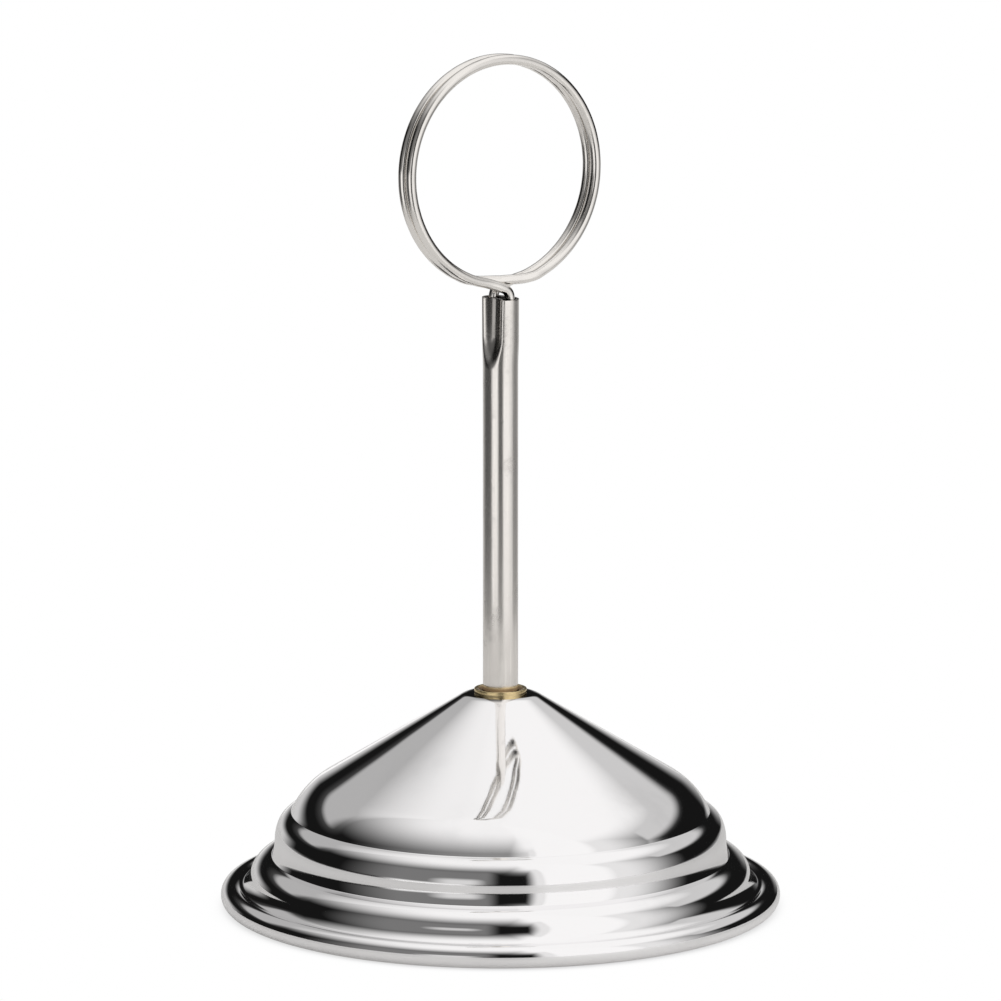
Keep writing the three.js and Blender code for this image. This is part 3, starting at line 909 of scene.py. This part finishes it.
class BuildClip(bpy.types.Operator):
    """Bend the card clip's wire: two legs and two turns, in a front and a rear length"""

    bl_idname = "holder.build_clip"
    bl_label = "Wire card clip"
    bl_options = {"REGISTER", "UNDO"}

    def execute(self, context):
        settings = context.scene.holder_clip
        turn_y = (turn_low.y + turn_high.y) / 2
        crossing = self.crossing(settings, turn_y)
        middle = len(crossing) // 2
        front = self.leg(settings, 1) + self.turn(turn_y)[::-1] + crossing[: middle + 1]
        rear = crossing[middle:] + self.turn(-turn_y)[::-1] + self.leg(settings, -1)[::-1]
        nickel = shared_material("nickel_wire", nickel_material, settings)
        piece = self.wire("clip_wire_front", front, nickel)
        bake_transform(piece)
        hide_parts("clip_front_leg", "clip_front_turn", "clip_crossover")
        piece = self.wire("clip_wire_rear", rear, nickel)
        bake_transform(piece)
        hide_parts("clip_rear_leg", "clip_rear_turn")
        return {"FINISHED"}

    def ring_point(self, degrees, y):
        """A point of the ring, at an angle from its bottom towards +X."""
        turn = math.radians(degrees)
        offset = Vector((math.sin(turn), 0, -math.cos(turn))) * ring_radius()
        return ring_centre() + offset + Vector((0, y, 0))

    def turn(self, y):
        """The sprung part of one turn, from its +X side over the top to its -X side."""
        places = range(TURN_START, TURN_END + 1, TURN_STEP)
        return [self.ring_point(degrees, y) for degrees in places]

    def leg(self, settings, side):
        """One leg, from inside the stem up through its bend to the ring's side."""
        stem = bpy.context.scene.holder_stem
        out_way, across_way = dent_axes(stem)
        half_mouth = (stem.width / 2 - stem.wall) * (1 + stem.bulge)
        reach = half_mouth - wire_radius() - settings.clearance
        spread = math.sqrt(reach**2 - settings.setback**2)
        foot = across_way * (side * spread) - out_way * settings.setback
        bend_top = mouth_height() + settings.rise - settings.bend_drop
        bend_foot = bend_top - settings.bend * math.sin(settings.bend_turn)
        low = leg_low.z
        points = [foot + UP * z for z in (low, (low + bend_foot) / 2, bend_foot)]
        bend_steps = 4
        for step in range(1, bend_steps + 1):
            turn = settings.bend_turn * step / bend_steps
            inward = Vector((-side * settings.bend * (1 - math.cos(turn)), 0, 0))
            points.append(foot + inward + UP * (bend_foot + settings.bend * math.sin(turn)))
        turn_y = side * (turn_low.y + turn_high.y) / 2
        exit_points = [self.ring_point(-side * place, turn_y) for place in BEND_EXIT_PLACES]
        return points + exit_points

    def crossing(self, settings, turn_y):
        """The wire under the ring, from the end of the front turn to the rear turn."""
        wire = 2 * wire_radius()
        middle_y = abs(turn_y) + settings.cross_shift
        rise = math.sqrt((wire + settings.cross_gap) ** 2 - middle_y**2)
        lowest = self.ring_point(0, settings.cross_shift) + UP * (rise - settings.bend_drop)
        before = [self.ring_point(place, turn_y) for place in CROSSING_EXIT_PLACES]
        after = [self.ring_point(-place, -turn_y) for place in CROSSING_EXIT_PLACES]
        return before[::-1] + [lowest] + after

    def wire(self, name, points, material):
        """Sweeps the wire's round section along a smooth path and makes it a mesh."""
        curve = bpy.data.curves.new(name, "CURVE")
        curve.dimensions = "3D"
        curve.bevel_depth = wire_radius()
        curve.bevel_resolution = 10
        curve.resolution_u = 8
        curve.use_fill_caps = True
        spline = curve.splines.new("BEZIER")
        spline.bezier_points.add(len(points) - 1)
        for knot, point in zip(spline.bezier_points, points):
            knot.co = point
            knot.handle_left_type = "AUTO"
            knot.handle_right_type = "AUTO"
        swept = bpy.data.objects.new(name + "_path", curve)
        bpy.context.scene.collection.objects.link(swept)
        graph = bpy.context.evaluated_depsgraph_get()
        mesh = bpy.data.meshes.new_from_object(swept.evaluated_get(graph))
        bpy.data.objects.remove(swept)
        bm = bmesh.new()
        bm.from_mesh(mesh)
        bmesh.ops.remove_doubles(bm, verts=bm.verts, dist=0.001 * MM)
        bmesh.ops.recalc_face_normals(bm, faces=bm.faces)
        return finished(bm, name, [material], sharp=60)


class BuildStage(bpy.types.Operator):
    """Set the camera, the pale table and the soft studio light"""

    bl_idname = "holder.build_stage"
    bl_label = "Stage"
    bl_options = {"REGISTER", "UNDO"}

    def execute(self, context):
        settings = context.scene.holder_stage
        self.set_camera(context, settings)
        self.lay_floor(settings)
        self.light_room(context, settings)
        context.scene.view_settings.view_transform = "Standard"
        return {"FINISHED"}

    def set_camera(self, context, settings):
        data = bpy.data.cameras.new("camera")
        data.lens = settings.lens
        data.sensor_width = 36
        data.clip_start = 0.05
        data.clip_end = 20
        camera = bpy.data.objects.new("camera", data)
        turn = settings.camera_turn
        away = Vector((-math.sin(turn), math.cos(turn), 0))
        camera.location = -away * settings.camera_distance + UP * settings.camera_height
        look = away * math.cos(settings.camera_pitch) - UP * math.sin(settings.camera_pitch)
        camera.rotation_euler = look.to_track_quat("-Z", "Y").to_euler()
        context.scene.collection.objects.link(camera)
        context.scene.camera = camera

    def lay_floor(self, settings):
        bm = bmesh.new()
        bmesh.ops.create_circle(bm, cap_ends=True, radius=settings.floor_radius, segments=96)
        material = bpy.data.materials.new("table")
        material.use_nodes = True
        tree = material.node_tree
        shader = tree.nodes["Principled BSDF"]
        shader.inputs["Base Color"].default_value = (*settings.floor, 1)
        shader.inputs["Roughness"].default_value = 0.35
        shader.inputs["Emission Color"].default_value = (*settings.floor, 1)
        shader.inputs["Emission Strength"].default_value = 0.2
        place = add_node(tree, "ShaderNodeTexCoord").outputs["Object"]
        reach = add_node(tree, "ShaderNodeVectorMath", {0: place}, operation="LENGTH")
        beyond = ramp(
            tree, reach.outputs["Value"], settings.floor_near, settings.floor_far
        )
        clear = add_node(tree, "ShaderNodeBsdfTransparent")
        table = add_node(tree, "ShaderNodeMixShader", {0: beyond})
        tree.links.new(shader.outputs[0], table.inputs[1])
        tree.links.new(clear.outputs[0], table.inputs[2])
        contact = add_node(
            tree, "ShaderNodeAmbientOcclusion", {"Distance": settings.contact}, samples=8
        ).outputs["AO"]
        contact_shade = ramp(tree, contact, 0, 0.8, 0.72, 1)
        glow = add_node(tree, "ShaderNodeEmission", {"Strength": contact_shade})
        seen = add_node(tree, "ShaderNodeLightPath").outputs["Is Camera Ray"]
        mixed = add_node(tree, "ShaderNodeMixShader", {0: seen})
        tree.links.new(table.outputs[0], mixed.inputs[1])
        tree.links.new(glow.outputs[0], mixed.inputs[2])
        below = add_node(tree, "ShaderNodeNewGeometry").outputs["Backfacing"]
        one_sided = add_node(tree, "ShaderNodeMixShader", {0: below})
        tree.links.new(mixed.outputs[0], one_sided.inputs[1])
        tree.links.new(clear.outputs[0], one_sided.inputs[2])
        tree.links.new(one_sided.outputs[0], tree.nodes["Material Output"].inputs["Surface"])
        floor = finished(bm, "table_top", [material])

    def light_room(self, context, settings):
        """A white tent with an overhead bank, open dark gaps and a bright side panel."""
        world = bpy.data.worlds.new("studio")
        world.use_nodes = True
        context.scene.world = world
        tree = world.node_tree
        place = add_node(tree, "ShaderNodeTexCoord").outputs["Generated"]
        towards = add_node(
            tree,
            "ShaderNodeVectorRotate",
            {"Vector": place, "Angle": -settings.camera_turn},
            rotation_type="Z_AXIS",
        )
        parts = add_node(tree, "ShaderNodeSeparateXYZ", {0: towards.outputs[0]})
        azimuth = maths(tree, "ARCTAN2", parts.outputs["X"], parts.outputs["Y"])
        azimuth = maths(tree, "MULTIPLY", azimuth, 180 / math.pi)
        elevation = maths(tree, "ARCSINE", parts.outputs["Z"])
        elevation = maths(tree, "MULTIPLY", elevation, 180 / math.pi)

        def window(value, low, high):
            rise = ramp(tree, value, *low)
            fall = ramp(tree, value, high[1], high[0])
            return maths(tree, "MULTIPLY", rise, fall)

        light = 0.008
        for left, right, low, high, level in STUDIO_PANELS:
            value = maths(tree, "MULTIPLY", window(azimuth, left, right), level)
            value = maths(tree, "MULTIPLY", value, window(elevation, low, high))
            light = maths(tree, "MAXIMUM", light, value)
        warm_white = (1.0, 0.99, 0.985)
        shade = add_node(tree, "ShaderNodeVectorMath", {0: warm_white}, operation="SCALE")
        tree.links.new(light, shade.inputs["Scale"])
        seen = add_node(tree, "ShaderNodeLightPath").outputs["Is Camera Ray"]
        tint = blend_colours(tree, seen, shade.outputs[0], (1, 1, 1))
        tree.links.new(tint, tree.nodes["Background"].inputs["Color"])


class HolderPanel(bpy.types.Panel):
    """Lists the holder's settings and the buttons that build it"""

    bl_idname = "VIEW3D_PT_holder"
    bl_label = "Table number holder"
    bl_space_type = "VIEW_3D"
    bl_region_type = "UI"
    bl_category = "Card holder"

    def draw(self, context):
        for operator, (attribute, group) in STEPS:
            box = self.layout.box()
            box.operator(operator.bl_idname)
            for name in group.__annotations__:
                box.prop(getattr(context.scene, attribute), name)


STEPS = [
    (BuildStage, ("holder_stage", HolderStageSettings)),
    (BuildBase, ("holder_base", HolderBaseSettings)),
    (BuildBush, ("holder_bush", HolderBushSettings)),
    (BuildFittings, ("holder_fittings", HolderFittingSettings)),
    (BuildStem, ("holder_stem", HolderStemSettings)),
    (BuildClip, ("holder_clip", HolderClipSettings)),
]


def register():
    for operator, (attribute, group) in STEPS:
        bpy.utils.register_class(operator)
        bpy.utils.register_class(group)
        setattr(bpy.types.Scene, attribute, bpy.props.PointerProperty(type=group))
    bpy.utils.register_class(HolderPanel)


def unregister():
    bpy.utils.unregister_class(HolderPanel)
    for operator, (attribute, group) in reversed(STEPS):
        delattr(bpy.types.Scene, attribute)
        bpy.utils.unregister_class(group)
        bpy.utils.unregister_class(operator)


def main():
    register()
    for operator, _ in STEPS:
        module, name = operator.bl_idname.split(".")
        getattr(getattr(bpy.ops, module), name)()


if __name__ == "__main__":
    main()
